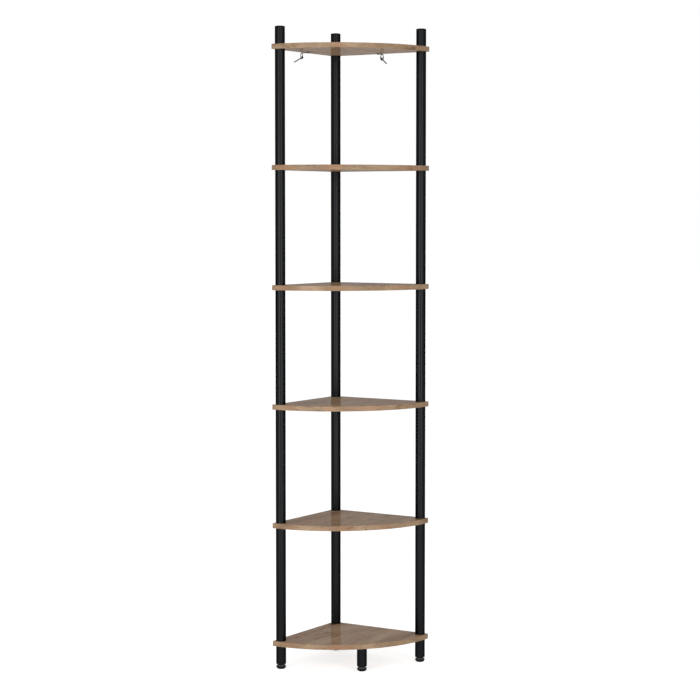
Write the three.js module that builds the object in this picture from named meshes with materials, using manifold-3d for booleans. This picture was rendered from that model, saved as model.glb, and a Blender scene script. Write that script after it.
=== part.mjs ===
// Corner shelf unit: six quarter-round laminated boards clamped between steel tubes that screw together
// through them, on four levelling feet, with two slotted brackets that tie the top board to the walls.
// Millimetres, +Z up. X runs along the back wall and -Y along the left wall, away from their corner.

import * as THREE from "three";
import { mergeVertices } from "three/addons/utils/BufferGeometryUtils.js";
import Module from "manifold-3d";

// Boards
const shelfCount = 6;
const shelfSide = 365; // along each wall, over the edging
const shelfEnd = 15; // flat end of a wall edge, before the front arc starts
const shelfThickness = 16;
const edgingThickness = 1;
const glueLine = 0.2;
const clearHeight = 365; // between two boards

// Tubes and their screwed ends
const tubeDiameter = 32;
const tubeWall = 1.2;
const columnInset = 19.5; // tube centre to the wall edge and to the board's end
const legLength = 57.5; // tube below the lowest board
const stubLength = 53.5; // tube above the top board
const threadDiameter = 8;
const bushLength = 16;
const endPlateThickness = 8;
const threadEngagement = 14;
const frontLegFromArc = 22; // leg centre to the board's front edge
const frontLegTurn = THREE.MathUtils.degToRad(42.35); // round the arc from the back wall

// Insert nut that holds the front leg in the lowest board
const insertDiameter = 12;
const insertLength = 12;
const insertFlangeDiameter = 16;
const insertFlangeThickness = 1.2;

// Caps on the three stubs
const capHeight = 4;
const capEdgeHeight = 1.5;
const capPlugLength = 14;

// End plugs and levelling feet
const padDiameter = 31;
const padHeight = 12.8;
const padRimTop = 10.2;
const padRimBottom = 8.4;
const padSoleDiameter = 18.2;
const padHubDiameter = 22;
const gripDiameter = 4.4;
const gripDepth = 1.1; // how far each grip bites into the rim
const footGap = 0.8; // between pad and end plug when screwed right in
const plugFlangeHeight = 3.4;
const plugNeckDiameter = 22;
const plugRimHeight = 0.6;
const plugLength = 18;
const stemLength = 30;
const stemSocketFloor = 4; // pad material left under the stem
const stemChamfer = 1;

// Wall brackets with their screws
const wallGap = 7; // from the boards to the wall
const bracketThickness = 1.2;
const bracketBend = 1; // inside radius
const bracketReach = 33; // from the wall
const bracketNeck = 10;
const loopWidth = 13.5;
const loopHeight = 20.8;
const slotWidth = 7.5;
const slotLength = 15.5;
const loopRim = 2.8; // metal left below the slot
const bracketScrewDiameter = 4;
const bracketScrewLength = 13;
const bracketScrewHead = 8;
const bracketScrewHeadHeight = 1.6;
const bracketScrewFromWall = 25;
const wallScrewDiameter = 3.9;
const wallScrewLength = 38;
const wallScrewHead = 8.5;
const wallScrewHeadHeight = 2.6;
const screwTipLength = 5;
const wallScrewTilt = THREE.MathUtils.degToRad(25); // it hangs tip down in its slot

// Clearances
const seatGap = 0.2; // faces clamped together
const fitGap = 0.3; // a pin or plug in its hole, all round
const boardHoleGap = 0.5; // a threaded end in a board, all round
const screwGap = 0.3; // screws and brackets against what they bear on
const overrun = 3; // cutters past the faces that they cut

// Facets
const arcFacets = 28;
const boardHoleFacets = 12;
const tubeFacets = 16;
const stemFacets = 12;
const screwFacets = 12;
const gripFacets = 8;
const roundingFacets = 4;
const slotEndFacets = 6;
const gripCount = 8;

const tubeRadius = tubeDiameter / 2;
const tubeBore = tubeRadius - tubeWall;
const threadRadius = threadDiameter / 2;
const arcRadius = shelfSide - shelfEnd;
const shelfPitch = shelfThickness + clearHeight;
const footHeight = padHeight + footGap + plugFlangeHeight;
const lowestBoard = footHeight + legLength;
const topFace = lowestBoard + (shelfCount - 1) * shelfPitch + shelfThickness;
const farColumn = shelfSide - columnInset;

const columns = {
  left: [columnInset, -farColumn],
  rear: [columnInset, -columnInset],
  right: [farColumn, -columnInset],
};
const frontLegRadius = arcRadius - frontLegFromArc;
const frontLeg = [
  shelfEnd + frontLegRadius * Math.cos(frontLegTurn),
  -shelfEnd - frontLegRadius * Math.sin(frontLegTurn),
];

const finishes = {
  oakLaminate: { color: 0x85786c, roughness: 0.4, metalness: 0 },
  oakEdging: { color: 0xa18468, roughness: 0.5, metalness: 0 },
  blackPaint: { color: 0x2b2b2d, roughness: 0.45, metalness: 0.2 },
  blackPlastic: { color: 0x1d1d1f, roughness: 0.55, metalness: 0 },
  zincSteel: { color: 0x9c9a98, roughness: 0.4, metalness: 0.8 },
  darkScrew: { color: 0x4a4a4c, roughness: 0.45, metalness: 0.6 },
};

const wasm = await Module();
wasm.setup();

// Solids for joins and cuts

function solidOf(geometry) {
  const bare = geometry.clone();
  bare.deleteAttribute("normal");
  bare.deleteAttribute("uv");
  const merged = mergeVertices(bare);
  return new wasm.Manifold(
    new wasm.Mesh({
      numProp: 3,
      vertProperties: new Float32Array(merged.attributes.position.array),
      triVerts: new Uint32Array(merged.index.array),
    }),
  );
}

function geometryOf(solid) {
  const mesh = solid.getMesh();
  const geometry = new THREE.BufferGeometry();
  geometry.setAttribute("position", new THREE.BufferAttribute(mesh.vertProperties, mesh.numProp));
  geometry.setIndex(new THREE.BufferAttribute(mesh.triVerts, 1));
  const flat = geometry.toNonIndexed();
  flat.computeVertexNormals();
  return flat;
}

const cutAway = (geometry, cutters) =>
  geometryOf(cutters.reduce((left, cutter) => left.subtract(solidOf(cutter)), solidOf(geometry)));

const trimmedBy = (geometry, cutter) => geometryOf(solidOf(geometry).intersect(solidOf(cutter)));

// A body turned about Z. The [radius, height] points run anticlockwise round its section.
function turned(points, facets) {
  const profile = points.map(([radius, height]) => new THREE.Vector2(radius, height));
  return new THREE.LatheGeometry(profile, facets).rotateX(Math.PI / 2);
}

const upright = (radius, bottom, top, facets) =>
  turned([[0, bottom], [radius, bottom], [radius, top], [0, top]], facets);

// Points along part of an ellipse
function arcPoints(centre, radii, from, to, facets) {
  const clockwise = to < from;
  const curve = new THREE.EllipseCurve(...centre, ...radii, from, to, clockwise);
  return curve.getPoints(facets).map((point) => [point.x, point.y]);
}

const outlineOf = (points) => new THREE.Shape(points.map((point) => new THREE.Vector2(...point)));

function extruded(shape, depth) {
  return new THREE.ExtrudeGeometry(shape, { depth, bevelEnabled: false });
}

// Boards

// The board's outline, drawn in by an inset: two wall edges, their flat ends and the front arc
function boardOutline(inset) {
  const end = shelfSide - inset;
  const radius = arcRadius - inset;
  return outlineOf([
    [inset, -inset],
    [inset, -end],
    ...arcPoints([shelfEnd, -shelfEnd], [radius, radius], -Math.PI / 2, 0, arcFacets),
    [end, -inset],
  ]);
}

function board() {
  const shape = boardOutline(edgingThickness + glueLine);
  const radius = threadRadius + boardHoleGap;
  for (const centre of Object.values(columns)) {
    const ring = arcPoints(centre, [radius, radius], 0, 2 * Math.PI, boardHoleFacets);
    shape.holes.push(outlineOf(ring.slice(1)));
  }
  return extruded(shape, shelfThickness);
}

// Blind hole and counterbore in the lowest board's underside for the insert nut
function insertPocket() {
  const shank = insertDiameter / 2 + fitGap;
  const flange = insertFlangeDiameter / 2 + fitGap;
  const flangeDepth = insertFlangeThickness + fitGap;
  const pocket = turned(
    [
      [0, -overrun],
      [flange, -overrun],
      [flange, flangeDepth],
      [shank, flangeDepth],
      [shank, insertLength + fitGap],
      [0, insertLength + fitGap],
    ],
    tubeFacets,
  );
  return pocket.translate(...frontLeg, 0);
}

// Pilot hole in the top board's underside for a bracket's screw
const pilotHole = (x, y) =>
  upright(
    bracketScrewDiameter / 2 + fitGap,
    -overrun,
    bracketScrewLength - bracketThickness,
    screwFacets,
  ).translate(x, y, 0);

function edging() {
  const shape = boardOutline(0);
  shape.holes.push(boardOutline(edgingThickness));
  return extruded(shape, shelfThickness);
}

// Tubes

// Tube between two boards: threaded bush in its lower end, threaded spigot on its upper end
function columnTube(length) {
  const spigotTop = length + shelfThickness + threadEngagement;
  return turned(
    [
      [0, length - endPlateThickness],
      [tubeBore, length - endPlateThickness],
      [tubeBore, bushLength],
      [threadRadius + fitGap, bushLength],
      [threadRadius + fitGap, 0],
      [tubeRadius, 0],
      [tubeRadius, length],
      [threadRadius, length],
      [threadRadius, spigotTop],
      [0, spigotTop],
    ],
    tubeFacets,
  );
}

// Tube below the lowest board: open end for the plug, threaded spigot on top
function legTube(length, spigotLength) {
  return turned(
    [
      [0, length - endPlateThickness],
      [tubeBore, length - endPlateThickness],
      [tubeBore, 0],
      [tubeRadius, 0],
      [tubeRadius, length],
      [threadRadius, length],
      [threadRadius, length + spigotLength],
      [0, length + spigotLength],
    ],
    tubeFacets,
  );
}

// Tube above the top board: threaded bush in its lower end, open end for the cap
function stubTube(length) {
  return turned(
    [
      [tubeBore, bushLength],
      [threadRadius + fitGap, bushLength],
      [threadRadius + fitGap, 0],
      [tubeRadius, 0],
      [tubeRadius, length],
      [tubeBore, length],
      [tubeBore, bushLength],
    ],
    tubeFacets,
  );
}

// Low domed cap with the plug that holds it in the tube; height 0 is the tube's end
function cap() {
  const plug = tubeBore - fitGap;
  return turned(
    [
      [0, -capPlugLength],
      [plug, -capPlugLength],
      [plug, 0],
      [tubeRadius, 0],
      ...arcPoints(
        [0, capEdgeHeight],
        [tubeRadius, capHeight - capEdgeHeight],
        0,
        Math.PI / 2,
        roundingFacets,
      ),
    ],
    tubeFacets,
  );
}

// Flanged insert nut, open end down; height 0 is the board's underside
function insertNut() {
  const bore = threadRadius + fitGap;
  const shank = insertDiameter / 2;
  const flange = insertFlangeDiameter / 2;
  return turned(
    [
      [bore, 0],
      [flange, 0],
      [flange, insertFlangeThickness],
      [shank, insertFlangeThickness],
      [shank, insertLength],
      [bore, insertLength],
      [bore, 0],
    ],
    tubeFacets,
  );
}

// Levelling feet

// Threaded plug in the leg's end; height 0 is the bottom of its chamfered flange
function endPlug() {
  const bore = threadRadius + fitGap;
  const body = tubeBore - fitGap;
  const top = plugFlangeHeight + plugLength;
  const flangeTop = plugFlangeHeight - seatGap;
  return turned(
    [
      [bore, 0],
      [plugNeckDiameter / 2, 0],
      [tubeRadius, flangeTop - plugRimHeight],
      [tubeRadius, flangeTop],
      [body, flangeTop],
      [body, top],
      [bore, top],
      [bore, 0],
    ],
    tubeFacets,
  );
}

// Steel stem whose lower end sits in the pad; height 0 is the floor
function footStem() {
  const bottom = stemSocketFloor + fitGap;
  const top = bottom + stemLength;
  return turned(
    [
      [0, bottom],
      [threadRadius, bottom],
      [threadRadius, top - stemChamfer],
      [threadRadius - stemChamfer, top],
      [0, top],
    ],
    stemFacets,
  );
}

// Moulded pad: flat sole, rounded flank, rim with finger grips, cone up to the hub
function footPad() {
  const rim = padDiameter / 2;
  const sole = padSoleDiameter / 2;
  const socket = threadRadius + fitGap;
  const body = turned(
    [
      [0, 0],
      ...arcPoints(
        [sole, padRimBottom],
        [rim - sole, padRimBottom],
        -Math.PI / 2,
        0,
        roundingFacets,
      ),
      [rim, padRimTop],
      [padHubDiameter / 2, padHeight],
      [socket, padHeight],
      [socket, stemSocketFloor],
      [0, stemSocketFloor],
    ],
    tubeFacets,
  );
  const gripRadius = gripDiameter / 2;
  const gripCentre = rim - gripDepth + gripRadius;
  const grips = [];
  for (let i = 0; i < gripCount; i++) {
    const turn = (2 * Math.PI * (i + 1 / 2)) / gripCount;
    const grip = upright(gripRadius, padRimBottom, padHeight + overrun, gripFacets);
    grips.push(grip.translate(gripCentre, 0, 0).rotateZ(turn));
  }
  return cutAway(body, grips);
}

// Wall fixings, with Y towards the wall, its plane at y 0, and the bracket's top at z 0

// Pan-headed screw along Z: its head below height 0, its shank and point above
function screw(diameter, length, head, headHeight) {
  return turned(
    [
      ...arcPoints([0, 0], [head / 2, headHeight], -Math.PI / 2, 0, roundingFacets),
      [diameter / 2, 0],
      [diameter / 2, length - screwTipLength],
      [0, length],
    ],
    screwFacets,
  );
}

// Bent plate: a strap under the board and a loop with an upright slot that hangs from it
function bracket() {
  const corner = bracketThickness + bracketBend;
  const strap = outlineOf([
    [-bracketReach, -bracketThickness],
    ...arcPoints([-corner, -corner], [bracketBend, bracketBend], Math.PI / 2, 0, roundingFacets),
    [-bracketThickness, -loopHeight],
    [0, -loopHeight],
    ...arcPoints([-corner, -corner], [corner, corner], 0, Math.PI / 2, roundingFacets),
    [-bracketReach, 0],
  ]);
  const acrossWall = new THREE.Matrix4().makeBasis(
    new THREE.Vector3(0, 1, 0),
    new THREE.Vector3(0, 0, 1),
    new THREE.Vector3(1, 0, 0),
  );
  const folded = extruded(strap, loopWidth).translate(0, 0, -loopWidth / 2).applyMatrix4(acrossWall);

  const radii = [loopWidth / 2, loopHeight / 2];
  const neckTurn = Math.acos(bracketNeck / loopWidth);
  const blank = outlineOf([
    [-bracketNeck / 2, overrun],
    ...arcPoints([0, -loopHeight / 2], radii, Math.PI - neckTurn, 2 * Math.PI + neckTurn, arcFacets),
    [bracketNeck / 2, overrun],
  ]);
  const slotRadius = slotWidth / 2;
  const slotLow = loopRim - loopHeight + slotRadius;
  const slotHigh = slotLow + slotLength - slotWidth;
  blank.holes.push(
    outlineOf([
      ...arcPoints([0, slotLow], [slotRadius, slotRadius], -Math.PI, 0, slotEndFacets),
      ...arcPoints([0, slotHigh], [slotRadius, slotRadius], 0, Math.PI, slotEndFacets),
    ]),
  );
  const stamp = extruded(blank, bracketReach + 2 * overrun)
    .rotateX(Math.PI / 2)
    .translate(0, overrun, 0);

  const hole = upright(
    bracketScrewDiameter / 2 + fitGap,
    -bracketThickness - overrun,
    overrun,
    screwFacets,
  ).translate(0, -bracketScrewFromWall, 0);
  return cutAway(trimmedBy(folded, stamp), [hole]);
}

// Where the loose wall screw's head meets its shank as it hangs in the slot
function wallScrewPlace() {
  const slotFloor = loopRim - loopHeight;
  const fall = Math.tan(wallScrewTilt);
  const middle = -bracketThickness / 2;
  const axisHeight =
    slotFloor + screwGap + wallScrewDiameter / 2 / Math.cos(wallScrewTilt) - middle * fall;
  const y = -bracketThickness - screwGap - (wallScrewHead / 2) * Math.sin(wallScrewTilt);
  return [0, y, axisHeight + (middle - y) * fall];
}

// Assembly

function piece(parent, name, geometry, finish, place = [0, 0, 0]) {
  const mesh = new THREE.Mesh(geometry, new THREE.MeshStandardMaterial(finishes[finish]));
  mesh.name = name;
  mesh.position.set(...place);
  parent.add(mesh);
  return mesh;
}

function addBoards(unit) {
  const middle = shelfSide / 2;
  const pilotInset = bracketScrewFromWall - wallGap;
  const cutsIn = {
    1: [insertPocket()],
    [shelfCount]: [pilotHole(middle, -pilotInset), pilotHole(pilotInset, -middle)],
  };
  for (let level = 1; level <= shelfCount; level++) {
    const place = [0, 0, lowestBoard + (level - 1) * shelfPitch];
    const plain = board();
    const drilled = cutsIn[level] ? cutAway(plain, cutsIn[level]) : plain;
    piece(unit, `shelf_${level}`, drilled, "oakLaminate", place);
    piece(unit, `shelf_${level}_edging`, edging(), "oakEdging", place);
  }
}

function addColumns(unit) {
  for (const [side, centre] of Object.entries(columns)) {
    for (let bay = 1; bay < shelfCount; bay++) {
      const bottom = lowestBoard + (bay - 1) * shelfPitch + shelfThickness + seatGap;
      const tube = columnTube(clearHeight - 2 * seatGap);
      piece(unit, `${side}_tube_${bay}`, tube, "blackPaint", [...centre, bottom]);
    }
    const stub = stubTube(stubLength - 2 * seatGap);
    piece(unit, `${side}_top_stub`, stub, "blackPaint", [...centre, topFace + seatGap]);
    piece(unit, `${side}_top_cap`, cap(), "blackPlastic", [...centre, topFace + stubLength]);
  }
}

function addLegs(unit) {
  const tube = legLength - seatGap;
  const throughBoard = shelfThickness + threadEngagement;
  const intoInsert = insertLength - fitGap;
  for (const [side, centre] of Object.entries({ ...columns, front: frontLeg })) {
    const spigot = side === "front" ? intoInsert : throughBoard;
    piece(unit, `${side}_leg`, legTube(tube, spigot), "blackPaint", [...centre, footHeight]);
    const plugBottom = padHeight + footGap;
    piece(unit, `${side}_leg_plug`, endPlug(), "blackPlastic", [...centre, plugBottom]);
    piece(unit, `${side}_foot_stem`, footStem(), "zincSteel", [...centre, 0]);
    piece(unit, `${side}_foot_pad`, footPad(), "blackPlastic", [...centre, 0]);
  }
  const insertPlace = [...frontLeg, lowestBoard];
  piece(unit, "front_leg_insert", insertNut(), "zincSteel", insertPlace);
}

function addWallFixings(unit) {
  const underside = topFace - shelfThickness - screwGap;
  const middle = shelfSide / 2;
  const walls = {
    back: { place: [middle, wallGap, underside], turn: 0 },
    left: { place: [-wallGap, -middle, underside], turn: Math.PI / 2 },
  };
  for (const [wall, { place, turn }] of Object.entries(walls)) {
    const fixing = new THREE.Group();
    fixing.position.set(...place);
    fixing.rotation.z = turn;
    unit.add(fixing);

    piece(fixing, `${wall}_wall_bracket`, bracket(), "zincSteel");

    const fastener = screw(
      bracketScrewDiameter,
      bracketScrewLength,
      bracketScrewHead,
      bracketScrewHeadHeight,
    );
    const underBracket = -bracketThickness - screwGap;
    piece(fixing, `${wall}_bracket_screw`, fastener, "zincSteel", [
      0,
      -bracketScrewFromWall,
      underBracket,
    ]);

    const wallScrew = screw(
      wallScrewDiameter,
      wallScrewLength,
      wallScrewHead,
      wallScrewHeadHeight,
    );
    const hanging = piece(fixing, `${wall}_wall_screw`, wallScrew, "darkScrew", wallScrewPlace());
    hanging.rotation.x = -(Math.PI / 2 + wallScrewTilt);
  }
}

const unit = new THREE.Group();
addBoards(unit);
addColumns(unit);
addLegs(unit);
addWallFixings(unit);

// The unit stands with the middle of its box over the origin
const box = new THREE.Box3().setFromObject(unit, true);
const middle = box.getCenter(new THREE.Vector3());
unit.position.set(-middle.x, -middle.y, 0);

const group = new THREE.Group();
group.add(unit);
export default group;
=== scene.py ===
"""Finished surfaces, materials, light and camera for the corner shelf unit, over its CAD frame.

Metres, +Z up. +X runs along the back wall and -Y along the left wall, away from their corner.
"""

from math import cos, pi, radians, sin

import bmesh
import bpy
import numpy as np
from bpy.props import FloatProperty, FloatVectorProperty, IntProperty, PointerProperty
from mathutils import Euler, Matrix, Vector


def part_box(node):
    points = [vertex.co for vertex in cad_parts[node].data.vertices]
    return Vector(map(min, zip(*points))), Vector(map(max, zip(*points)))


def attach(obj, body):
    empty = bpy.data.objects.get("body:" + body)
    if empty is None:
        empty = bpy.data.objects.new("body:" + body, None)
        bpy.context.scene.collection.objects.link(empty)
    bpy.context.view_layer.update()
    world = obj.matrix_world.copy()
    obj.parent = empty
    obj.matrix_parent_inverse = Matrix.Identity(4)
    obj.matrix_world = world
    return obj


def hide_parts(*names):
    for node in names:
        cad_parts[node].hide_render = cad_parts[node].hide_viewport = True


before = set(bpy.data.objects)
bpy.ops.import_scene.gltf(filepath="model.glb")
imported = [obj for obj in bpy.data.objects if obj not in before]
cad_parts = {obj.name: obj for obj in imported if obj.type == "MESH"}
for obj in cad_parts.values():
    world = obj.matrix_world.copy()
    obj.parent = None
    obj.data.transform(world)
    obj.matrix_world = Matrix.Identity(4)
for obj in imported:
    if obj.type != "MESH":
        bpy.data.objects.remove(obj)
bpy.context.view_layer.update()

bl_info = {
    "name": "Corner Shelf Unit",
    "version": (1, 0, 0),
    "blender": (4, 5, 0),
    "location": "View3D > Sidebar > Shelf Unit",
    "description": "Finished surfaces, materials and stage for a quarter-round corner shelf unit",
    "category": "Add Mesh",
}

COLUMN_SIDES = ("left", "rear", "right")
LEG_SIDES = (*COLUMN_SIDES, "front")
SHELF_LEVELS = range(1, 7)
BAYS = range(1, 6)
# For each wall, the way to it and the turn about Z that points a wall screw that way
WALLS = {"back": ((0, 1, 0), 0), "left": ((-1, 0, 0), pi / 2)}


# Settings


def length(name, description, default):
    """A length in metres."""
    return FloatProperty(
        name=name, description=description, default=default, min=0.0, precision=5, unit="LENGTH"
    )


def share(name, description, default):
    """A number from 0 to 1."""
    return FloatProperty(
        name=name, description=description, default=default, min=0.0, max=1.0, subtype="FACTOR"
    )


def angular(name, description, default):
    """An angle in radians."""
    return FloatProperty(name=name, description=description, default=default, subtype="ANGLE")


def colour(name, description, default):
    """A linear colour."""
    return FloatVectorProperty(
        name=name, description=description, default=default, min=0.0, max=1.0, size=3, subtype="COLOR"
    )


class BoardSettings(bpy.types.PropertyGroup):
    end_length: length("Flat end", "Flat end of a wall edge before the front arc starts", 0.015)
    strip_thickness: length("Edging thickness", "Thickness of the edging strip", 0.001)
    strip_rounding: length("Edging rounding", "Radius of the strip's trimmed long edges", 0.0006)
    corner_radius: length("Corner radius", "Radius of the board's three upright corners", 0.0015)
    laminate_light: colour("Laminate light", "Lighter colour of the board's faces", (0.485, 0.337, 0.224))
    laminate_deep: colour("Laminate deep", "Deeper colour of the board's faces", (0.27, 0.17, 0.108))
    edging_light: colour("Edging light", "Lighter colour of the edging strip", (0.43, 0.30, 0.19))
    edging_deep: colour("Edging deep", "Deeper colour of the edging strip", (0.25, 0.16, 0.097))
    warm: colour("Warm", "Warmer colour of reddish patches in both", (0.37, 0.205, 0.118))
    streak: colour("Streak", "Colour of the dark streaks and knots", (0.10, 0.062, 0.04))
    face_marks: share("Face marks", "Strength of the ragged dark marks on the faces", 0.85)
    edging_marks: share("Edging marks", "Strength of the ragged dark marks on the edging", 0.62)
    strip_repeat: FloatProperty(
        name="Strip repeat",
        description="How much closer the print lies along the edging than on the faces",
        default=2.2,
    )
    gloss: share("Laminate gloss", "Share of the clear gloss on the laminate", 0.17)


class TubeSettings(bpy.types.PropertyGroup):
    wall: length("Tube wall", "Wall thickness of the tubes", 0.0012)
    rounding: length("End rounding", "Radius of the tubes' ends", 0.0004)
    bush_length: length("Bush length", "Length of the threaded bush in a tube's lower end", 0.016)
    end_plate: length("End plate", "Thickness of the plate that carries the spigot", 0.008)
    spigot_length: length("Spigot length", "Length of the spigot through a board", 0.030)
    spigot_radius: length("Spigot radius", "Radius of the threaded spigot", 0.004)
    seat_gap: length("Seat gap", "Gap between a tube's end and the board on it", 0.0002)
    thread_gap: length("Thread gap", "Gap between a thread and its hole, all round", 0.0003)
    cap_edge: length("Cap edge", "Upright edge of a cap below its dome", 0.0015)
    cap_plug: length("Cap plug", "Length of the cap's plug in the tube", 0.014)
    paint: colour("Paint", "Colour of the powder-coated tubes", (0.0108, 0.01125, 0.0121))
    roughness: share("Paint roughness", "Roughness of the powder coat", 0.3)
    segments: IntProperty(
        name="Segments", description="Facets round a turned piece", default=64, min=12, max=256
    )


class FootSettings(bpy.types.PropertyGroup):
    pad_height: length("Pad height", "Height of a levelling pad", 0.0128)
    rim_bottom: length("Rim bottom", "Height at which the pad's rim starts", 0.0084)
    rim_top: length("Rim top", "Height at which the pad's rim ends", 0.0102)
    sole_radius: length("Sole radius", "Radius of the flat sole", 0.0091)
    hub_radius: length("Hub radius", "Radius of the flat hub on top of the pad", 0.011)
    socket_floor: length("Socket floor", "Pad material under the stem", 0.004)
    grip_radius: length("Grip radius", "Radius of a finger grip in the rim", 0.0022)
    grip_depth: length("Grip depth", "How far a finger grip bites into the rim", 0.0011)
    grip_count: IntProperty(name="Grips", description="Finger grips round the rim", default=8, min=0, max=24)
    thread_pitch: length("Thread pitch", "Pitch of the stem's thread", 0.00125)
    thread_depth: length("Thread depth", "Depth of the stem's thread", 0.0007)
    stem_chamfer: length("Stem chamfer", "Chamfer on the stem's upper end", 0.001)
    plug_flange: length("Plug flange", "Height of the plug's chamfered flange", 0.0032)
    plug_rim: length("Plug rim", "Upright rim at the top of the flange", 0.0006)
    plug_neck: length("Plug neck", "Radius of the flange's lower face", 0.011)
    plastic: colour("Plastic", "Colour of the moulded plastic", (0.012, 0.012, 0.013))
    # Pale colour on the pads' up-facing faces: a painted glint, which also stands for dust
    dust_and_glint: colour("Dust and glint", "Colour of the dust on the pads", (0.1, 0.1, 0.104))


class FixingSettings(bpy.types.PropertyGroup):
    wall_screw_length: length("Wall screw length", "Wall screw from under its head to its tip", 0.038)
    wall_screw_radius: length("Wall screw radius", "Radius of the wall screw over its thread", 0.00195)
    wall_screw_head: length("Wall screw head", "Radius of the wall screw's head", 0.00425)
    wall_screw_head_height: length("Wall screw head height", "Height of the wall screw's head", 0.0026)
    wall_screw_pitch: length("Wall screw pitch", "Pitch of the wall screw's thread", 0.0017)
    strap_screw_length: length("Strap screw length", "Bracket screw from under its head to its tip", 0.013)
    strap_screw_radius: length("Strap screw radius", "Radius of the bracket screw over its thread", 0.002)
    strap_screw_head: length("Strap screw head", "Radius of the bracket screw's head", 0.004)
    strap_screw_head_height: length("Strap screw head height", "Height of its head", 0.0016)
    strap_screw_pitch: length("Strap screw pitch", "Pitch of the bracket screw's thread", 0.0018)
    tip_length: length("Tip length", "Length of a screw's point", 0.005)
    insert_radius: length("Insert radius", "Radius of the insert nut's shank", 0.006)
    insert_flange: length("Insert flange", "Thickness of the insert nut's flange", 0.0012)
    tilt: angular("Tilt", "Tilt of the hanging wall screw below the level", radians(25))
    zinc: colour("Zinc", "Colour of the zinc-plated steel", (0.15, 0.148, 0.146))
    dark_steel: colour("Dark steel", "Colour of the wall screws", (0.05, 0.05, 0.053))


class StageSettings(bpy.types.PropertyGroup):
    camera_place: FloatVectorProperty(
        name="Camera place",
        description="Where the camera stands",
        default=(3.466632, -5.477022, 1.4645),
        subtype="TRANSLATION",
    )
    camera_turn: angular("Camera turn", "Turn of the camera about Z", radians(32.309299))
    camera_pitch: angular("Camera pitch", "How far the camera looks down", radians(3.510937))
    lens: FloatProperty(
        name="Lens", description="Focal length in millimetres", default=103.599422, subtype="DISTANCE_CAMERA"
    )
    shift: FloatProperty(name="Shift", description="Upright shift of the picture", default=-0.02)
    floor_colour: colour("Floor colour", "Colour of the plain floor", (0.8, 0.8, 0.8))
    floor_size: length("Floor size", "Half width of the floor", 40.0)
    floor_glow: share("Floor glow", "How far the floor's shadow is filled in the picture", 0.7)
    surround: share("Surround", "Strength of the light from all round", 0.43)
    softbox_watts: FloatProperty(
        name="Softbox power", description="Mean power of a softbox", default=68.0, min=0.0
    )
    softbox_balance: FloatProperty(
        name="Softbox balance",
        description="Share of its power that goes over to the left softbox",
        default=0.09,
    )
    softbox_width: length("Softbox width", "Width of a softbox", 1.95)
    softbox_height: length("Softbox height", "Height of a softbox", 2.4)
    softbox_distance: length("Softbox distance", "Distance of a softbox from the unit", 4.0)
    softbox_level: length("Softbox level", "Height of a softbox's middle", 1.25)
    softbox_spread: angular("Softbox spread", "Angle from the camera's side to a softbox", radians(26.5))


class ShelfUnitSettings(bpy.types.PropertyGroup):
    boards: PointerProperty(type=BoardSettings, name="Boards", description="Boards and edging")
    tubes: PointerProperty(type=TubeSettings, name="Tubes", description="Tubes and caps")
    feet: PointerProperty(type=FootSettings, name="Feet", description="Levelling feet")
    fixings: PointerProperty(type=FixingSettings, name="Fixings", description="Screws and inserts")
    stage: PointerProperty(type=StageSettings, name="Stage", description="Camera, floor and light")


def settings():
    return bpy.context.scene.shelf_unit


# Surfaces

STRAIGHT = radians(175)  # a corner that opens wider than this is left as it is
# A rounded corner takes up no more than BEND_SHARE of its shorter side. The point beside it stands FLAT_TIMES
# as far from the corner as the arc's end, but no further than FLAT_SHARE of that side.
BEND_SHARE, FLAT_TIMES, FLAT_SHARE = 0.4, 1.6, 0.48
SCREW_FACETS = 48
SCREW_RINGS, STEM_RINGS = 10, 8  # rings of points to one pitch of thread
DOME_STEPS = 16
FACETS_PER_GRIP = 24


def arc(centre, radii, start, end, steps):
    """Points along part of an ellipse: centre plus (radius times cosine, radius times sine) of the angle."""
    angle = np.linspace(start, end, steps)
    return np.stack([centre[0] + radii[0] * np.cos(angle), centre[1] + radii[1] * np.sin(angle)], 1)


def rounded(corners, radius, closed=False, steps=5):
    """A section with its corners rounded.

    Between two sides that meet at an angle t, the arc's centre lies on the bisector at radius / sin(t / 2),
    and the arc swings from one side's foot to the other's at an even pace. A point beside each end of the
    arc keeps the flat next to it flat. On an open section the two end points stay as they are.
    """
    corners = np.asarray(corners, float)
    count = len(corners)
    points = []
    for i in range(count):
        here = corners[i]
        if not closed and i in (0, count - 1):
            points.append(here[None])
            continue
        before, after = corners[i - 1] - here, corners[(i + 1) % count] - here
        reach = min(np.linalg.norm(before), np.linalg.norm(after))
        before, after = before / np.linalg.norm(before), after / np.linalg.norm(after)
        opening = np.arccos(np.clip(before @ after, -1, 1))
        if opening > STRAIGHT:
            points.append(here[None])
            continue
        foot = min(radius / np.tan(opening / 2), BEND_SHARE * reach)
        size = foot * np.tan(opening / 2)
        middle = here + (before + after) / np.linalg.norm(before + after) * size / sin(opening / 2)
        start, end = (here + before * foot - middle) / size, (here + after * foot - middle) / size
        swing = pi - opening
        way = np.linspace(0, 1, steps)[:, None]
        turn = (np.sin((1 - way) * swing) * start + np.sin(way * swing) * end) / sin(swing)
        spare = min(foot * FLAT_TIMES, FLAT_SHARE * reach)
        points += [(here + before * spare)[None], middle + size * turn, (here + after * spare)[None]]
    return np.concatenate(points)


def turned(section, segments, place):
    """Rings of a body turned about Z: (r cos a, r sin a, z) for each point (r, z) of the section."""
    angle = np.arange(segments) * 2 * pi / segments
    section = np.asarray(section, float)
    radius, height = section[:, :1], section[:, 1:]
    rings = np.stack([radius * np.cos(angle), radius * np.sin(angle), height + 0 * angle], 2)
    return rings + np.asarray(place, float)


def quads(rows, columns, wrap):
    """Corner numbers of the faces between rings that each close on themselves."""
    row, column = np.meshgrid(np.arange(rows if wrap else rows - 1), np.arange(columns), indexing="ij")
    above, beside = (row + 1) % rows, (column + 1) % columns
    here, over = row * columns, above * columns
    return np.stack([here + column, here + beside, over + beside, over + column], 2).reshape(-1, 4)


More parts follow.
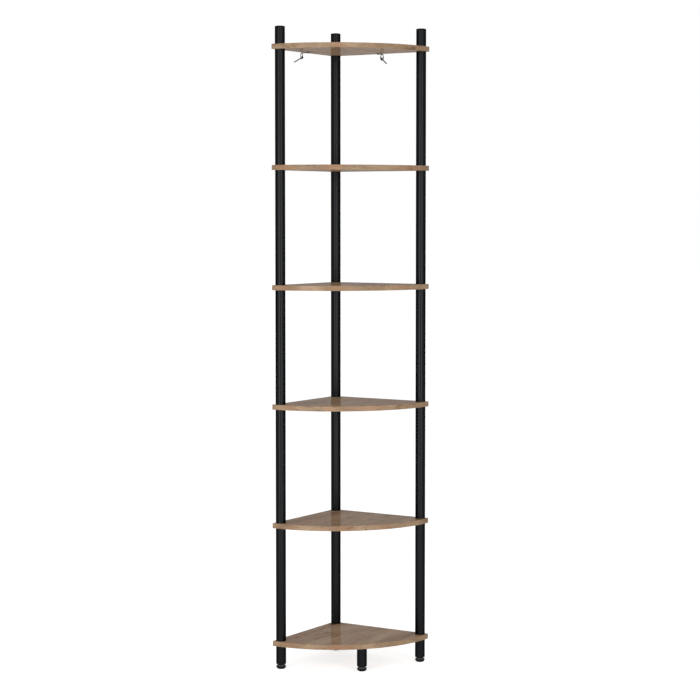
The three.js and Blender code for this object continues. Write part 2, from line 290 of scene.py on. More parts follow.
def surface(name, rings, wrap=False, sharp=radians(35)):
    """A closed mesh over rings of points.

    With wrap, the last ring joins the first. Otherwise the first and the last ring are a single point each,
    and close as poles.
    """
    rows, columns = rings.shape[:2]
    if wrap:
        points, faces = rings.reshape(-1, 3), quads(rows, columns, True).tolist()
    else:
        inner = rings[1:-1]
        points = np.concatenate([inner.reshape(-1, 3), rings[0, :1], rings[-1, :1]])
        column = np.arange(columns)
        beside = (column + 1) % columns
        low = np.stack([beside, column, np.full(columns, len(points) - 2)], 1)
        last = (rows - 3) * columns
        high = np.stack([last + column, last + beside, np.full(columns, len(points) - 1)], 1)
        faces = quads(rows - 2, columns, False).tolist() + low.tolist() + high.tolist()
    mesh = bpy.data.meshes.new(name)
    mesh.from_pydata(points.tolist(), [], faces)
    weld(mesh)
    mesh.shade_smooth()
    mesh.set_sharp_from_angle(angle=sharp)
    return mesh


def weld(mesh, reach=1e-6):
    """Joins points that lie on each other, so that no face is left without area."""
    work = bmesh.new()
    work.from_mesh(mesh)
    bmesh.ops.remove_doubles(work, verts=work.verts, dist=reach)
    work.to_mesh(mesh)
    work.free()


def thread(radius, depth, pitch, height, angle):
    """Radius of a right-handed thread: it goes from root to crest and back once a pitch, and a turn lifts it
    by one pitch."""
    phase = np.mod(height / pitch - angle / (2 * pi), 1)
    return radius - depth * np.abs(2 * phase - 1)


def place_piece(name, mesh, body, nodes, material):
    """Puts a mesh into the scene as a piece that rides on a body and stands for CAD nodes."""
    piece = bpy.data.objects.new(name, mesh)
    bpy.context.scene.collection.objects.link(piece)
    mesh.materials.append(material)
    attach(piece, body)
    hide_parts(*nodes)


def place_turned(name, section, foot, node, material, wrap=False):
    """Puts a body turned about an upright axis over a CAD node of the frame."""
    mesh = surface(name, turned(section, settings().tubes.segments, foot), wrap=wrap)
    place_piece(name, mesh, "frame", [node], material)


def round_span(node):
    """Radius and height of an upright round CAD node, and the lowest point of its axis."""
    low, high = (np.array(corner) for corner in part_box(node))
    return (high[0] - low[0]) / 2, high[2] - low[2], np.array([*(low[:2] + high[:2]) / 2, low[2]])


# Materials

# Tints of a material's second colour, as multiples of its first
WORN_PAINT, RUBBED_PLASTIC, DULL_ZINC, DULL_STEEL = 1.12, 1.35, 0.72, 0.6
# Depth of each effect's relief, in metres
PRINT_RELIEF, PAINT_RELIEF, PLASTIC_RELIEF, PLATING_RELIEF = 0.00004, 0.000002, 0.00001, 0.000004
GLOSS_ROUGHNESS = 0.14
PLASTIC_SHEEN = 0.04
BARE_SHARE, KNOT_STRENGTH = 0.62, 0.75  # share of the print's cells without a knot, and how dark a knot is
FIBRE_RELIEF = 0.5  # height of the print's fibres next to the depth of its marks
LINE_SHARE = 0.25  # how much the drawn lines of plated steel dull it


def new_node(tree, kind, place=(0, 0), inputs=None, **values):
    made = tree.nodes.new(kind)
    made.location = place
    for key, value in values.items():
        setattr(made, key, value)
    for key, value in (inputs or {}).items():
        if isinstance(value, bpy.types.NodeSocket):
            tree.links.new(value, made.inputs[key])
        else:
            made.inputs[key].default_value = value
    return made


def combine(tree, operation, first, second, clamp=False):
    """One arithmetic step between two sockets or numbers."""
    values = {0: first, 1: second}
    return new_node(tree, "ShaderNodeMath", inputs=values, operation=operation, use_clamp=clamp).outputs[0]


def ramp(tree, value, low, high, to_low=0.0, to_high=1.0):
    """Carries a value smoothly from one range into another."""
    step = new_node(
        tree,
        "ShaderNodeMapRange",
        interpolation_type="SMOOTHSTEP",
        inputs={"Value": value, "From Min": low, "From Max": high, "To Min": to_low, "To Max": to_high},
    )
    return step.outputs[0]


def stretched(tree, vector, scale):
    return new_node(tree, "ShaderNodeMapping", inputs={"Vector": vector, "Scale": scale}).outputs[0]


def noise(tree, vector, scale, detail, roughness, distortion=0.0):
    """Fractal noise over a vector stretched by a scale for each axis."""
    values = {"Scale": 1.0, "Detail": detail, "Roughness": roughness, "Distortion": distortion}
    vector = stretched(tree, vector, scale)
    return new_node(tree, "ShaderNodeTexNoise", inputs={"Vector": vector, **values}).outputs["Fac"]


def blend_colours(tree, share_socket, first, second):
    mix = new_node(tree, "ShaderNodeMix", data_type="RGBA", inputs={0: share_socket, 6: first, 7: second})
    return mix.outputs[2]


def start_group(name, colours, numbers=()):
    """An empty effect that takes a vector, colours and numbers."""
    group = bpy.data.node_groups.new(name, "ShaderNodeTree")
    kinds = ["NodeSocketVector", *["NodeSocketColor"] * len(colours), *["NodeSocketFloat"] * len(numbers)]
    for title, kind in zip(("Vector", *colours, *numbers), kinds):
        group.interface.new_socket(title, in_out="INPUT", socket_type=kind)
    return group, group.nodes.new("NodeGroupInput").outputs


def finish_group(group, colour_socket, roughness, height):
    """Puts out an effect's colour, roughness and height."""
    made = (
        ("Color", "NodeSocketColor", colour_socket),
        ("Roughness", "NodeSocketFloat", roughness),
        ("Height", "NodeSocketFloat", height),
    )
    for title, kind, _ in made:
        group.interface.new_socket(title, in_out="OUTPUT", socket_type=kind)
    new_node(group, "NodeGroupOutput", inputs={title: value for title, _, value in made})
    return group


def oak_print_group():
    """Printed oak. The grain runs along Y: clouds of tone and of warmth, broad figure, fine fibres, ragged
    dark streaks and a few knots, each stretched along the grain."""
    if "oak print" in bpy.data.node_groups:
        return bpy.data.node_groups["oak print"]
    group, given = start_group("oak print", ("Light", "Deep", "Warm", "Streak"), ("Marks",))
    vector = given["Vector"]
    clouds = noise(group, vector, (12, 5, 9), 3, 0.6)
    figure = noise(group, vector, (27, 3, 12), 4, 0.6, 1.2)
    fibres = noise(group, vector, (300, 14, 60), 4, 0.66)
    warmth = noise(group, vector, (15, 5, 13), 3, 0.6)
    flecks = noise(group, vector, (66, 10, 21), 6, 0.66, 0.9)
    patches = noise(group, vector, (14, 6, 15), 2, 0.5)
    broad, fine = ramp(group, figure, 0.34, 0.66, 0.0, 0.42), ramp(group, fibres, 0.34, 0.66, 0.0, 0.26)
    grain = combine(group, "ADD", broad, fine)
    tone = combine(group, "ADD", grain, ramp(group, clouds, 0.36, 0.64, 0.0, 0.42), True)
    oak = blend_colours(group, tone, given["Light"], given["Deep"])
    oak = blend_colours(group, ramp(group, warmth, 0.46, 0.66, 0.0, 0.6), oak, given["Warm"])
    marks = combine(group, "MULTIPLY", ramp(group, flecks, 0.53, 0.62), ramp(group, patches, 0.43, 0.57))
    cells = {"Vector": stretched(group, vector, (13, 6.5, 9)), "Scale": 1.0}
    cells = new_node(group, "ShaderNodeTexVoronoi", inputs=cells).outputs
    drawn = new_node(group, "ShaderNodeSeparateColor", inputs={0: cells["Color"]}).outputs[0]
    chosen = combine(group, "GREATER_THAN", drawn, BARE_SHARE)
    knots = combine(group, "MULTIPLY", ramp(group, cells["Distance"], 0.085, 0.02), chosen)
    marks = combine(group, "MULTIPLY", marks, given["Marks"])
    dark = combine(group, "MAXIMUM", marks, combine(group, "MULTIPLY", knots, KNOT_STRENGTH))
    height = combine(group, "SUBTRACT", combine(group, "MULTIPLY", fibres, FIBRE_RELIEF), dark)
    printed = blend_colours(group, dark, oak, given["Streak"])
    return finish_group(group, printed, ramp(group, fibres, 0.3, 0.7, 0.44, 0.54), height)


def powder_coat_group():
    """Powder coat: a fine orange peel and a slow drift of tone and roughness."""
    if "powder coat" in bpy.data.node_groups:
        return bpy.data.node_groups["powder coat"]
    group, given = start_group("powder coat", ("Paint", "Worn"), ("Roughness",))
    drift = noise(group, given["Vector"], (30, 30, 3.2), 3, 0.55)
    peel = noise(group, given["Vector"], (1300, 1300, 1300), 1, 0.5)
    tone = blend_colours(group, ramp(group, drift, 0.35, 0.7), given["Paint"], given["Worn"])
    rough = combine(group, "ADD", given["Roughness"], ramp(group, drift, 0.3, 0.7, -0.03, 0.04))
    return finish_group(group, tone, rough, peel)


def moulded_group():
    """Moulded plastic: a fine even grain, slightly rubbed patches, and a painted glint, also standing for
    dusty tone, on the sides that face up.
    """
    if "moulded plastic" in bpy.data.node_groups:
        return bpy.data.node_groups["moulded plastic"]
    group, given = start_group("moulded plastic", ("Plastic", "Rubbed", "Dust and glint"))
    rubbed = ramp(group, noise(group, given["Vector"], (90, 90, 90), 3, 0.6), 0.45, 0.75)
    grain = noise(group, given["Vector"], (2600, 2600, 2600), 1, 0.5)
    # Painted highlight: the more a face points up, the more it takes the third colour, a pale glint that also
    # passes for dust
    normal = group.nodes.new("ShaderNodeNewGeometry").outputs["Normal"]
    up = new_node(group, "ShaderNodeSeparateXYZ", inputs={0: normal}).outputs[2]
    clean = blend_colours(group, rubbed, given["Plastic"], given["Rubbed"])
    tone = blend_colours(group, ramp(group, up, 0.3, 0.8), clean, given["Dust and glint"])
    return finish_group(group, tone, ramp(group, rubbed, 0.0, 1.0, 0.55, 0.46), grain)


def plated_group():
    """Plated steel: cloudy plating and fine drawn lines, duller where the clouds are rougher."""
    if "plated steel" in bpy.data.node_groups:
        return bpy.data.node_groups["plated steel"]
    group, given = start_group("plated steel", ("Bright", "Dull"))
    clouds = noise(group, given["Vector"], (260, 260, 260), 4, 0.6)
    lines = noise(group, given["Vector"], (3000, 3000, 240), 2, 0.5)
    cloudy = ramp(group, clouds, 0.35, 0.7, 0.0, 0.75)
    dulled = combine(group, "ADD", cloudy, combine(group, "MULTIPLY", lines, LINE_SHARE), True)
    tone = blend_colours(group, dulled, given["Bright"], given["Dull"])
    return finish_group(group, tone, ramp(group, clouds, 0.3, 0.7, 0.3, 0.48), lines)


def finish_material(name, group, vector_from, colours, relief, shader_values, numbers=None):
    """A material whose colour, roughness and bump come from an effect over a vector of the piece."""
    if name in bpy.data.materials:
        return bpy.data.materials[name]
    material = bpy.data.materials.new(name)
    material.use_nodes = True
    tree = material.node_tree
    tree.nodes.clear()
    given = {title: (*value, 1.0) for title, value in colours.items()} | (numbers or {})
    given["Vector"] = vector_from(tree)
    effect = new_node(tree, "ShaderNodeGroup", (-600, 0), given, node_tree=group).outputs
    bump = {"Height": effect["Height"], "Distance": relief, "Strength": 1.0}
    bump = new_node(tree, "ShaderNodeBump", (-300, -300), bump).outputs[0]
    values = {"Base Color": effect["Color"], "Roughness": effect["Roughness"], "Normal": bump}
    shader = new_node(tree, "ShaderNodeBsdfPrincipled", inputs=values | shader_values)
    new_node(tree, "ShaderNodeOutputMaterial", (300, 0), inputs={"Surface": shader.outputs[0]})
    return material


def object_vector(tree):
    return new_node(tree, "ShaderNodeTexCoord", (-1000, 0)).outputs["Object"]


def strip_vector(tree):
    """The strip's own map turned so that the grain runs along it, drawn together along its length."""
    strip = new_node(tree, "ShaderNodeUVMap", (-1200, 0), uv_map="strip").outputs[0]
    apart = new_node(tree, "ShaderNodeSeparateXYZ", (-1000, 0), inputs={0: strip})
    level = new_node(tree, "ShaderNodeTexCoord", (-1200, -300)).outputs["Object"]
    height = new_node(tree, "ShaderNodeSeparateXYZ", (-1000, -300), inputs={0: level}).outputs["Z"]
    along = combine(tree, "MULTIPLY", apart.outputs[0], settings().boards.strip_repeat)
    joined = {0: apart.outputs[1], 1: along, 2: height}
    return new_node(tree, "ShaderNodeCombineXYZ", (-800, 0), joined).outputs[0]


def oak(name, light, deep, marks, vector_from):
    look = settings().boards
    colours = {"Light": light, "Deep": deep, "Warm": look.warm, "Streak": look.streak}
    values = {"Specular IOR Level": 0.0, "Coat Weight": look.gloss, "Coat Roughness": GLOSS_ROUGHNESS}
    numbers = {"Marks": marks}
    return finish_material(name, oak_print_group(), vector_from, colours, PRINT_RELIEF, values, numbers)


def laminate():
    look = settings().boards
    return oak("oak laminate", look.laminate_light, look.laminate_deep, look.face_marks, object_vector)


def edging_oak():
    look = settings().boards
    return oak("oak edging", look.edging_light, look.edging_deep, look.edging_marks, strip_vector)


def black_paint():
    look = settings().tubes
    colours = {"Paint": look.paint, "Worn": [WORN_PAINT * part for part in look.paint]}
    values = {"Metallic": 1.0, "Specular Tint": (0.0, 0.0, 0.0, 1.0)}
    numbers, name = {"Roughness": look.roughness}, "black powder coat"
    return finish_material(name, powder_coat_group(), object_vector, colours, PAINT_RELIEF, values, numbers)


def black_plastic(name="black plastic", dust_and_glint=None):
    """Moulded plastic whose up-facing sides are painted a lighter tone: the given colour of dust and glint,
    or its own rubbed colour if no other is given.
    """
    look = settings().feet
    rubbed = [RUBBED_PLASTIC * part for part in look.plastic]
    # The third colour is the painted lighter tone on the up-facing sides; caps and plugs take the rubbed
    # colour for it
    colours = {"Plastic": look.plastic, "Rubbed": rubbed, "Dust and glint": dust_and_glint or rubbed}
    values = {"Specular IOR Level": PLASTIC_SHEEN}
    return finish_material(name, moulded_group(), object_vector, colours, PLASTIC_RELIEF, values)


def dusty_glinting_plastic():
    # The pads: a pale painted glint, also standing for dust, on their up-facing faces such as the cone in the
    # groove under the leg
    return black_plastic("black plastic with dust and glint", settings().feet.dust_and_glint)


def plated(name, bright, tint):
    colours = {"Bright": bright, "Dull": [tint * part for part in bright]}
    return finish_material(name, plated_group(), object_vector, colours, PLATING_RELIEF, {"Metallic": 1.0})


def zinc_steel():
    return plated("zinc steel", settings().fixings.zinc, DULL_ZINC)


def dark_steel():
    return plated("dark screw steel", settings().fixings.dark_steel, DULL_STEEL)


# Pieces


def board_outline(side, end, corner, inset):
    """The board's outline drawn in by an inset, anticlockwise from the rear corner.

    Each upright corner is a quarter circle about a point one corner radius in from both edges, and the front
    is a quarter circle about the point one flat end in from both walls.
    """
    small, wide = corner - inset, side - end - inset
    quarter = pi / 2
    corner_steps, front_steps = 7, 181
    return np.concatenate(
        [
            arc((corner, -corner), (small, small), quarter, pi, corner_steps),
            arc((corner, corner - side), (small, small), pi, 3 * quarter, corner_steps),
            arc((end, -end), (wide, wide), 3 * quarter, 4 * quarter, front_steps),
            arc((side - corner, -corner), (small, small), 0, quarter, corner_steps),
        ]
    )


def edging_mesh(name, low, high, look):
    """The strip's rounded section carried round the board: each point of the section keeps its own inset from
    the outline, so the strip mitres itself at the corners."""
    side, height = high[0] - low[0], high[2] - low[2]
    thick = look.strip_thickness
    corners = [(thick, 0), (0, 0), (0, height), (thick, height)]
    section = rounded(corners, look.strip_rounding, closed=True, steps=4)
    rings = np.stack(
        [
            np.column_stack([outline, np.full(len(outline), z)])
            for inset, z in section
            for outline in [board_outline(side, look.end_length, look.corner_radius, inset)]
        ]
    )
    rings += (low[0], high[1], low[2])
    mesh = surface(name, rings, wrap=True)
    outer = board_outline(side, look.end_length, look.corner_radius, 0)
    steps = np.linalg.norm(np.diff(outer, axis=0, append=outer[:1]), axis=1)
    along = np.concatenate([[0], np.cumsum(steps)])
    round_it = np.linalg.norm(np.diff(section, axis=0, append=section[:1]), axis=1)
    across = np.concatenate([[0], np.cumsum(round_it)])
    row, column = np.meshgrid(np.arange(len(section)), np.arange(len(outer)), indexing="ij")
    u = np.stack([along[column], along[column + 1], along[column + 1], along[column]], 2)
    v = np.stack([across[row], across[row], across[row + 1], across[row + 1]], 2)
    strip = mesh.uv_layers.new(name="strip")
    strip.data.foreach_set("uv", np.stack([u, v], 3).ravel())
    return mesh


def tube_section(look, length_m, reach, radius, bush):
    """Tube with a plate and a spigot on its upper end and, where bush is true, a bush in its lower end."""
    bore, hole, spigot = radius - look.wall, look.spigot_radius + look.thread_gap, look.spigot_radius
    lower = [(bore, look.bush_length), (hole, look.bush_length), (hole, 0)] if bush else [(bore, 0)]
    return rounded(
        [
            (0, length_m - look.end_plate),
            (bore, length_m - look.end_plate),
            *lower,
            (radius, 0),
            (radius, length_m),
            (spigot, length_m),
            (spigot, reach),
            (0, reach),
        ],
        look.rounding,
    )


def screw_rings(kind):
    """Pan-headed screw along Z, its head below height 0 and its thread above.

    The head is a quarter ellipse turned about Z, with a cross pressed into it: the cross is as deep as the
    smaller of two slopes, one across an arm and one along it. The shank's radius follows its thread and runs
    out to nothing along the tip.
    """
    look = settings().fixings
    parts = ("radius", "head", "head_height", "pitch", "length")
    size, head, head_height, pitch, reach = (getattr(look, f"{kind}_screw_{part}") for part in parts)
    angle = np.arange(SCREW_FACETS) * 2 * pi / SCREW_FACETS
    head_steps = 22
    dome = arc((0, 0), (head, head_height), -pi / 2, 0, head_steps)
    radius, height = dome[:, :1] + 0 * angle, dome[:, 1:] + 0 * angle
    x, y = np.abs(radius * np.cos(angle)), np.abs(radius * np.sin(angle))
    arm, across = np.maximum(x, y), np.minimum(x, y)
    # Of the head's radius: half an arm's width, the slope beside it, an arm's reach and the slope along it
    width_share, beside_share, reach_share, along_share = 0.13, 0.05, 0.62, 0.5
    cross_share, thread_share = 0.6, 0.26  # the cross's depth in the head, the thread's in the radius
    slope_across = np.clip((width_share * head - across) / (beside_share * head), 0, 1)
    slope_along = np.clip((reach_share * head - arm) / (along_share * head), 0, 1)
    height = height + cross_share * head_height * np.minimum(slope_across, slope_along)
    shank_height = np.linspace(0, reach, int(reach / pitch * SCREW_RINGS))[:, None]
    taper = np.clip((reach - shank_height) / look.tip_length, 0, 1)
    depth = thread_share * size * np.clip(shank_height / pitch, 0, 1)
    shank = thread(size, depth, pitch, shank_height, angle) * taper
    shank_height = shank_height + 0 * angle
    radius, height = np.concatenate([radius, shank]), np.concatenate([height, shank_height])
    return np.stack([radius * np.cos(angle), radius * np.sin(angle), height], 2)


class SHELF_OT_boards(bpy.types.Operator):
    """Give the six boards their oak laminate"""

    bl_idname = "shelf_unit.boards"
    bl_label = "Boards"

    def execute(self, context):
        for level in SHELF_LEVELS:
            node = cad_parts[f"shelf_{level}"]
            node.data.materials.clear()
            node.data.materials.append(laminate())
        return {"FINISHED"}


class SHELF_OT_edgings(bpy.types.Operator):
    """Wrap each board in its edging strip"""

    bl_idname = "shelf_unit.edgings"
    bl_label = "Edging strips"

    def execute(self, context):
        for level in SHELF_LEVELS:
            node = f"shelf_{level}_edging"
            low, high = (np.array(corner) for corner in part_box(node))
            name = f"edge_strip_{level}"
            mesh = edging_mesh(name, low, high, settings().boards)
            place_piece(name, mesh, "frame", [node], edging_oak())
        return {"FINISHED"}


class SHELF_OT_columns(bpy.types.Operator):
    """Make the fifteen tubes between the boards"""

    bl_idname = "shelf_unit.columns"
    bl_label = "Column tubes"

    def execute(self, context):
        look = settings().tubes
        for side in COLUMN_SIDES:
            for bay in BAYS:
                node = f"{side}_tube_{bay}"
                radius, reach, foot = round_span(node)
                section = tube_section(look, reach - look.spigot_length, reach, radius, bush=True)
                place_turned(f"{side}_column_{bay}", section, foot, node, black_paint())
        return {"FINISHED"}


class SHELF_OT_stubs(bpy.types.Operator):
    """Make the three short tubes above the top board"""

    bl_idname = "shelf_unit.stubs"
    bl_label = "Top stubs"

    def execute(self, context):
        look = settings().tubes
        for side in COLUMN_SIDES:
            node = f"{side}_top_stub"
            radius, tall, foot = round_span(node)
            bore, hole = radius - look.wall, look.spigot_radius + look.thread_gap
            corners = [
                (bore, look.bush_length),
                (hole, look.bush_length),
                (hole, 0),
                (radius, 0),
                (radius, tall),
                (bore, tall),
            ]
            section = rounded(corners, look.rounding, closed=True)
            place_turned(f"{side}_stub", section, foot, node, black_paint(), wrap=True)
        return {"FINISHED"}


class SHELF_OT_caps(bpy.types.Operator):
    """Make the three domed caps on the stubs"""

    bl_idname = "shelf_unit.caps"
    bl_label = "Top caps"

    def execute(self, context):
        look = settings().tubes
        for side in COLUMN_SIDES:
            node = f"{side}_top_cap"
            radius, tall, foot = round_span(node)
            plug, edge = radius - look.wall - look.thread_gap, look.cap_plug + look.cap_edge
            corners = [(0, 0), (plug, 0), (plug, look.cap_plug), (radius, look.cap_plug), (radius, edge)]
            dome = arc((0, edge), (radius, tall - edge), 0, pi / 2, DOME_STEPS)
            section = np.concatenate([rounded(corners, look.rounding), dome[1:]])
            place_turned(f"{side}_cap", section, foot, node, black_plastic())
        return {"FINISHED"}


class SHELF_OT_legs(bpy.types.Operator):
    """Make the four leg tubes under the lowest board"""

    bl_idname = "shelf_unit.legs"
    bl_label = "Legs"

    def execute(self, context):
        look = settings().tubes
        board_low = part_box("shelf_1")[0][2]
        for side in LEG_SIDES:
            node = f"{side}_leg"
            radius, reach, foot = round_span(node)
            section = tube_section(look, board_low - foot[2] - look.seat_gap, reach, radius, bush=False)
            place_turned(f"{side}_leg_tube", section, foot, node, black_paint())
        return {"FINISHED"}


class SHELF_OT_leg_plugs(bpy.types.Operator):
    """Make the chamfered plugs in the legs' ends"""

    bl_idname = "shelf_unit.leg_plugs"
    bl_label = "Leg plugs"

    def execute(self, context):
        look, tubes = settings().feet, settings().tubes
        for side in LEG_SIDES:
            node = f"{side}_leg_plug"
            radius, tall, foot = round_span(node)
            hole = tubes.spigot_radius + tubes.thread_gap
            body = radius - tubes.wall - tubes.thread_gap
            corners = [
                (hole, 0),
                (look.plug_neck, 0),
                (radius, look.plug_flange - look.plug_rim),
                (radius, look.plug_flange),
                (body, look.plug_flange),
                (body, tall),
                (hole, tall),
            ]
            section = rounded(corners, tubes.rounding / 2, closed=True)
            place_turned(f"{side}_plug", section, foot, node, black_plastic(), wrap=True)
        return {"FINISHED"}


class SHELF_OT_foot_stems(bpy.types.Operator):
    """Make the threaded stems of the levelling feet"""

    bl_idname = "shelf_unit.foot_stems"
    bl_label = "Foot stems"

    def execute(self, context):
        look = settings().feet
        angle = np.arange(SCREW_FACETS) * 2 * pi / SCREW_FACETS
        for side in LEG_SIDES:
            node = f"{side}_foot_stem"
            radius, tall, foot = round_span(node)
            height = np.linspace(0, tall, int(tall / look.thread_pitch * STEM_RINGS))[:, None]
            root = radius - look.thread_depth
            tapered = root + np.clip((tall - height) / look.stem_chamfer, 0, 1) * look.thread_depth
            rings = np.minimum(thread(radius, look.thread_depth, look.thread_pitch, height, angle), tapered)
            rings = np.concatenate([0 * rings[:1], rings, 0 * rings[:1]])
            height = np.concatenate([height[:1], height, height[-1:]]) + 0 * angle
            points = np.stack([rings * np.cos(angle), rings * np.sin(angle), height], 2) + foot
            name = f"{side}_stem"
            place_piece(name, surface(name, points), node, [node], zinc_steel())
        return {"FINISHED"}


class SHELF_OT_foot_pads(bpy.types.Operator):
    """Make the moulded pads with their finger grips"""

    bl_idname = "shelf_unit.foot_pads"
    bl_label = "Foot pads"

    def execute(self, context):
        look, tubes = settings().feet, settings().tubes
        socket = tubes.spigot_radius + tubes.thread_gap
        edge_share, flank_steps = 0.97, 12  # a ring just inside the sole's edge keeps the sole flat
        inner_sole = [(0, 0), (look.sole_radius * edge_share, 0)]
        for side in LEG_SIDES:
            node = f"{side}_foot_pad"
            radius, _, foot = round_span(node)
            bulge = (radius - look.sole_radius, look.rim_bottom)
            flank = arc((look.sole_radius, look.rim_bottom), bulge, -pi / 2, 0, flank_steps)
            corners = [
                (radius, look.rim_bottom),
                (radius, look.rim_top),
                (look.hub_radius, look.pad_height),
                (socket, look.pad_height),
                (socket, look.socket_floor),
                (0, look.socket_floor),
            ]
            section = np.concatenate([inner_sole, flank, rounded(corners, tubes.rounding)])
            rings = turned(section, FACETS_PER_GRIP * look.grip_count, foot)
            rings = bite_grips(rings, foot[:2], len(inner_sole) + len(flank), radius, look)
            name = f"{side}_pad"
            # Each pad gets a painted glint, also standing for dust, on its up-facing faces
            place_piece(name, surface(name, rings), node, [node], dusty_glinting_plastic())
        return {"FINISHED"}


def bite_grips(rings, middle, first, radius, look):
    """Presses the finger grips into the rim.

    Seen from above, a grip is a circle outside the rim. Where a ray from the pad's middle meets it, at
    c cos(t) - sqrt(g squared - (c sin t) squared) for a circle of radius g whose middle is c away and t round
    from the ray, the rim goes no further out.
    """
    centre = radius - look.grip_depth + look.grip_radius
    out = rings[first:, :, :2] - middle
    angle = np.arctan2(out[..., 1], out[..., 0])
    step = 2 * pi / look.grip_count
    off = np.mod(angle, step) - step / 2
    reach = look.grip_radius**2 - (centre * np.sin(off)) ** 2
    limit = np.where(reach > 0, centre * np.cos(off) - np.sqrt(np.maximum(reach, 0)), radius)
    size = np.linalg.norm(out, axis=2)
    scale = np.minimum(1, limit / np.maximum(size, 1e-9))
    rings[first:, :, :2] = middle + out * scale[..., None]
    return rings


class SHELF_OT_insert_nut(bpy.types.Operator):
    """Make the insert nut that takes the front leg"""

    bl_idname = "shelf_unit.insert_nut"
    bl_label = "Insert nut"

    def execute(self, context):
        look, tubes = settings().fixings, settings().tubes
        node = "front_leg_insert"
        flange, tall, foot = round_span(node)
        hole = tubes.spigot_radius + tubes.thread_gap
        corners = [
            (hole, 0),
            (flange, 0),
            (flange, look.insert_flange),
            (look.insert_radius, look.insert_flange),
            (look.insert_radius, tall),
            (hole, tall),
        ]
        section = rounded(corners, tubes.rounding / 2, closed=True)
        place_turned("front_insert_nut", section, foot, node, zinc_steel(), wrap=True)
        return {"FINISHED"}


class SHELF_OT_wall_brackets(bpy.types.Operator):
    """Give the two wall brackets their plated finish"""

    bl_idname = "shelf_unit.wall_brackets"
    bl_label = "Wall brackets"

    def execute(self, context):
        for wall in WALLS:
            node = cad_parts[f"{wall}_wall_bracket"]
            node.data.materials.clear()
            node.data.materials.append(zinc_steel())
        return {"FINISHED"}


class SHELF_OT_strap_screws(bpy.types.Operator):
    """Make the screws that hold the brackets to the top board"""

    bl_idname = "shelf_unit.strap_screws"
    bl_label = "Bracket screws"

    def execute(self, context):
        under_head = np.array([0, 0, settings().fixings.strap_screw_head_height])
        for wall in WALLS:
            node = f"{wall}_bracket_screw"
            _, _, foot = round_span(node)
            rings = screw_rings("strap") + (foot + under_head)
            name = f"{wall}_strap_screw"
            place_piece(name, surface(name, rings), "frame", [node], zinc_steel())
        return {"FINISHED"}


class SHELF_OT_wall_screws(bpy.types.Operator):
    """Make the wall screws that hang in the brackets' slots"""

    bl_idname = "shelf_unit.wall_screws"
    bl_label = "Wall screws"

    def execute(self, context):
        look = settings().fixings
        for wall, (toward_wall, heading) in WALLS.items():
            node = f"{wall}_wall_screw"
            points = np.empty(3 * len(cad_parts[node].data.vertices), np.float32)
            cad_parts[node].data.vertices.foreach_get("co", points)
            points = points.reshape(-1, 3)
            tip = points[np.argmax(points @ np.array(toward_wall))]
            turn = np.array(Euler((-(pi / 2 + look.tilt), 0, heading), "XYZ").to_matrix())
            rings = (screw_rings("wall") - (0, 0, look.wall_screw_length)) @ turn.T + tip
            name = f"{wall}_hanging_screw"
            place_piece(name, surface(name, rings), node, [node], dark_steel())
        return {"FINISHED"}


# Stage

SENSOR_WIDTH = 36  # in millimetres
CLIP_END = 200
WHITE = (1, 1, 1, 1)


def seen_share(tree):
    """1 for rays that show the surround in the picture, in a reflection or through glass, else 0."""
    path = new_node(tree, "ShaderNodeLightPath", (-900, 0))
    seen = combine(tree, "MAXIMUM", path.outputs["Is Camera Ray"], path.outputs["Is Glossy Ray"])
    return combine(tree, "MAXIMUM", seen, path.outputs["Is Transmission Ray"])


def floor_material(look):
    """Pale floor. In the picture it also glows, so that it stays near white and still shows a shadow."""
    material = bpy.data.materials.new("pale floor")
    material.use_nodes = True
    tree = material.node_tree
    tree.nodes.clear()
    glow = combine(tree, "MULTIPLY", seen_share(tree), look.floor_glow)
    plain = new_node(tree, "ShaderNodeBsdfDiffuse", inputs={"Color": (*look.floor_colour, 1)})
    light = new_node(tree, "ShaderNodeEmission", inputs={"Color": WHITE, "Strength": glow})
    both = new_node(tree, "ShaderNodeAddShader", inputs={0: plain.outputs[0], 1: light.outputs[0]})
    new_node(tree, "ShaderNodeOutputMaterial", inputs={"Surface": both.outputs[0]})
    return material


def white_world(look):
    """White where it is seen, and a plain level of light from all round."""
    world = bpy.data.worlds.new("white surround")
    bpy.context.scene.world = world
    world.use_nodes = True
    tree = world.node_tree
    tree.nodes.clear()
    dim = new_node(tree, "ShaderNodeBackground", inputs={"Color": WHITE, "Strength": look.surround})
    white = new_node(tree, "ShaderNodeBackground", inputs={"Color": WHITE, "Strength": 1.0})
    mix = {0: seen_share(tree), 1: dim.outputs[0], 2: white.outputs[0]}
    mix = new_node(tree, "ShaderNodeMixShader", inputs=mix).outputs[0]
    new_node(tree, "ShaderNodeOutputWorld", inputs={"Surface": mix})


def softbox(name, look, turn, power):
    """A soft area lamp that faces the unit from in front of it."""
    lamp = bpy.data.lights.new(name, "AREA")
    lamp.shape = "RECTANGLE"
    lamp.size, lamp.size_y = look.softbox_width, look.softbox_height
    lamp.energy = power
    box = bpy.data.objects.new(name, lamp)
    bpy.context.scene.collection.objects.link(box)
    way = look.camera_turn + turn
    box.location = (look.softbox_distance * sin(way), -look.softbox_distance * cos(way), look.softbox_level)
    box.rotation_euler = (pi / 2, 0, way)
    box.visible_camera = False


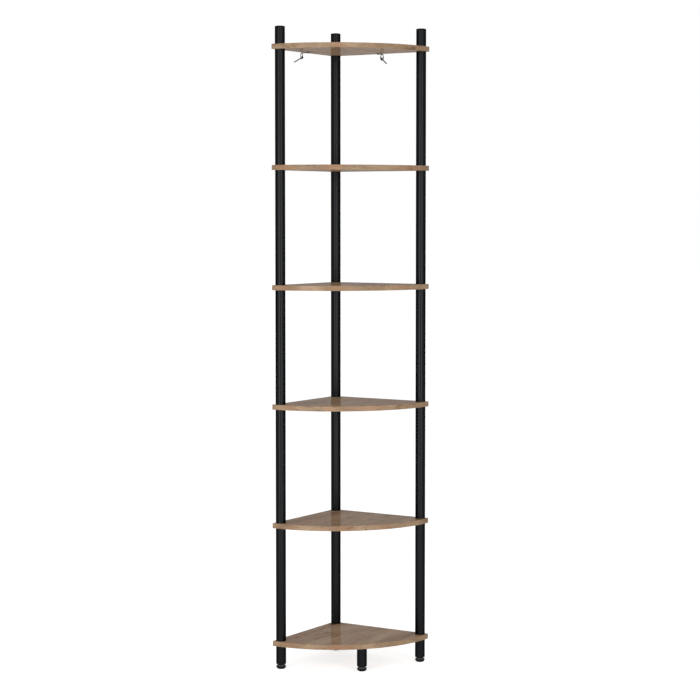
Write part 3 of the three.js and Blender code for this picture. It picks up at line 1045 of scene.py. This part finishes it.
class SHELF_OT_stage(bpy.types.Operator):
    """Set up the floor, the light and the camera"""

    bl_idname = "shelf_unit.stage"
    bl_label = "Stage"

    def execute(self, context):
        look = settings().stage
        half = look.floor_size
        mesh = bpy.data.meshes.new("floor")
        corners = [(-half, -half, 0), (half, -half, 0), (half, half, 0), (-half, half, 0)]
        mesh.from_pydata(corners, [], [(0, 1, 2, 3)])
        mesh.materials.append(floor_material(look))
        floor = bpy.data.objects.new("floor", mesh)
        context.scene.collection.objects.link(floor)
        white_world(look)
        softbox("left softbox", look, -look.softbox_spread, look.softbox_watts * (1 + look.softbox_balance))
        softbox("right softbox", look, look.softbox_spread, look.softbox_watts * (1 - look.softbox_balance))
        view = bpy.data.cameras.new("camera")
        view.sensor_width, view.lens, view.shift_y = SENSOR_WIDTH, look.lens, look.shift
        view.clip_end = CLIP_END
        camera = bpy.data.objects.new("camera", view)
        context.scene.collection.objects.link(camera)
        camera.location = look.camera_place
        camera.rotation_euler = (pi / 2 - look.camera_pitch, 0, look.camera_turn)
        context.scene.camera = camera
        context.scene.view_settings.view_transform = "Standard"
        return {"FINISHED"}


class SHELF_PT_panel(bpy.types.Panel):
    """Lists the pieces of the shelf unit"""

    bl_idname = "SHELF_PT_panel"
    bl_label = "Shelf Unit"
    bl_space_type = "VIEW_3D"
    bl_region_type = "UI"
    bl_category = "Shelf Unit"

    def draw(self, context):
        for operator in OPERATORS:
            self.layout.operator(operator.bl_idname)


OPERATORS = (
    SHELF_OT_boards,
    SHELF_OT_edgings,
    SHELF_OT_columns,
    SHELF_OT_stubs,
    SHELF_OT_caps,
    SHELF_OT_legs,
    SHELF_OT_leg_plugs,
    SHELF_OT_foot_stems,
    SHELF_OT_foot_pads,
    SHELF_OT_insert_nut,
    SHELF_OT_wall_brackets,
    SHELF_OT_strap_screws,
    SHELF_OT_wall_screws,
    SHELF_OT_stage,
)
CLASSES = (
    BoardSettings,
    TubeSettings,
    FootSettings,
    FixingSettings,
    StageSettings,
    ShelfUnitSettings,
    *OPERATORS,
    SHELF_PT_panel,
)


def register():
    for made in CLASSES:
        bpy.utils.register_class(made)
    bpy.types.Scene.shelf_unit = PointerProperty(type=ShelfUnitSettings)


def unregister():
    del bpy.types.Scene.shelf_unit
    for made in reversed(CLASSES):
        bpy.utils.unregister_class(made)


def main():
    register()
    bpy.ops.shelf_unit.boards()
    bpy.ops.shelf_unit.edgings()
    bpy.ops.shelf_unit.columns()
    bpy.ops.shelf_unit.stubs()
    bpy.ops.shelf_unit.caps()
    bpy.ops.shelf_unit.legs()
    bpy.ops.shelf_unit.leg_plugs()
    bpy.ops.shelf_unit.foot_stems()
    bpy.ops.shelf_unit.foot_pads()
    bpy.ops.shelf_unit.insert_nut()
    bpy.ops.shelf_unit.wall_brackets()
    bpy.ops.shelf_unit.strap_screws()
    bpy.ops.shelf_unit.wall_screws()
    bpy.ops.shelf_unit.stage()


if __name__ == "__main__":
    main()
